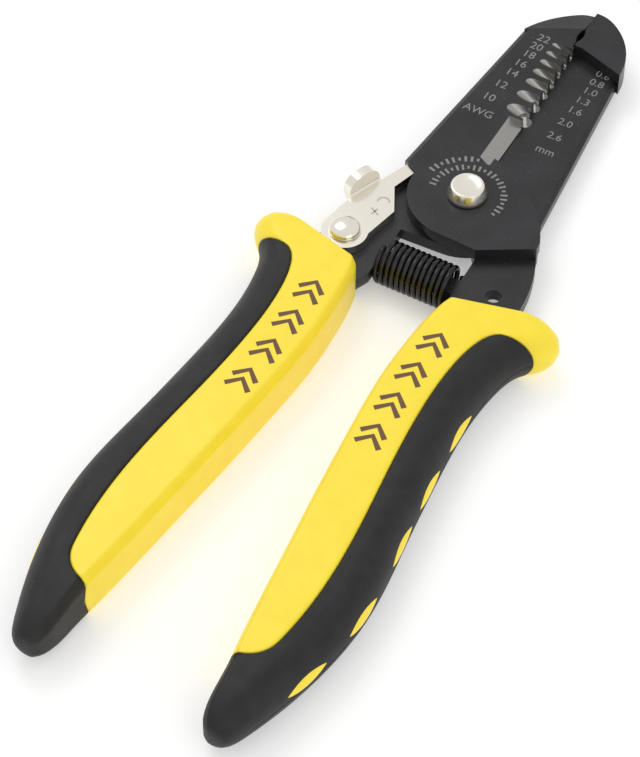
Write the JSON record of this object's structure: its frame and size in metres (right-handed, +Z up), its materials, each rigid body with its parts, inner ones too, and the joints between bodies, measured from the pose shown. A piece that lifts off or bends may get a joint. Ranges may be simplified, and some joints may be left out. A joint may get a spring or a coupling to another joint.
{
  "type": "wire stripper",
  "caption": "Hand wire stripper with notched plate blades, a thick gripping nose, a flip-over lock lever, a coil return spring and two-tone soft-grip handles.",
  "frame": {"origin": "middle of the footprint, on the surface that the handles lie on", "axes": "+Y from the handles to the nose, along the pivot's mid line; +Z up, along the pivot axis; +X to the right seen from above"},
  "size_m": [0.0608, 0.1751, 0.0108],
  "materials": {
    "black_steel": "satin black oxide",
    "bright_nickel": "nickel plated",
    "spring_wire": "glossy black",
    "yellow_core": "smooth yellow",
    "dark_grip": "matte dark grey"
  },
  "bodies": {
    "back_half": {"back_jaw": "black_steel", "pivot_bolt": "bright_nickel", "pivot_nut": "bright_nickel", "latch_rivet": "bright_nickel", "return_spring": "spring_wire", "left_handle_core": "yellow_core", "left_handle_grip": "dark_grip"},
    "front_half": {"front_jaw": "black_steel", "right_handle_core": "yellow_core", "right_handle_grip": "dark_grip"},
    "latch": {"latch_lever": "bright_nickel"}
  },
  "joints": [
    {"name": "jaw_open", "type": "hinge", "parent": "back_half", "child": "front_half", "pos_m": [0, 0.03355, 0.00535], "axis": [0, 0, 1], "range_deg": [0, 16], "deforming": ["return_spring"]},
    {"name": "latch_turn", "type": "hinge", "parent": "back_half", "child": "latch", "pos_m": [-0.01545, 0.01555, 0.00535], "axis": [0, 0, 1], "range_deg": [0, 46]}
  ],
  "couplings": [
    {"joint": "latch_turn", "follows": "jaw_open", "ratio": 2.5}
  ]
}
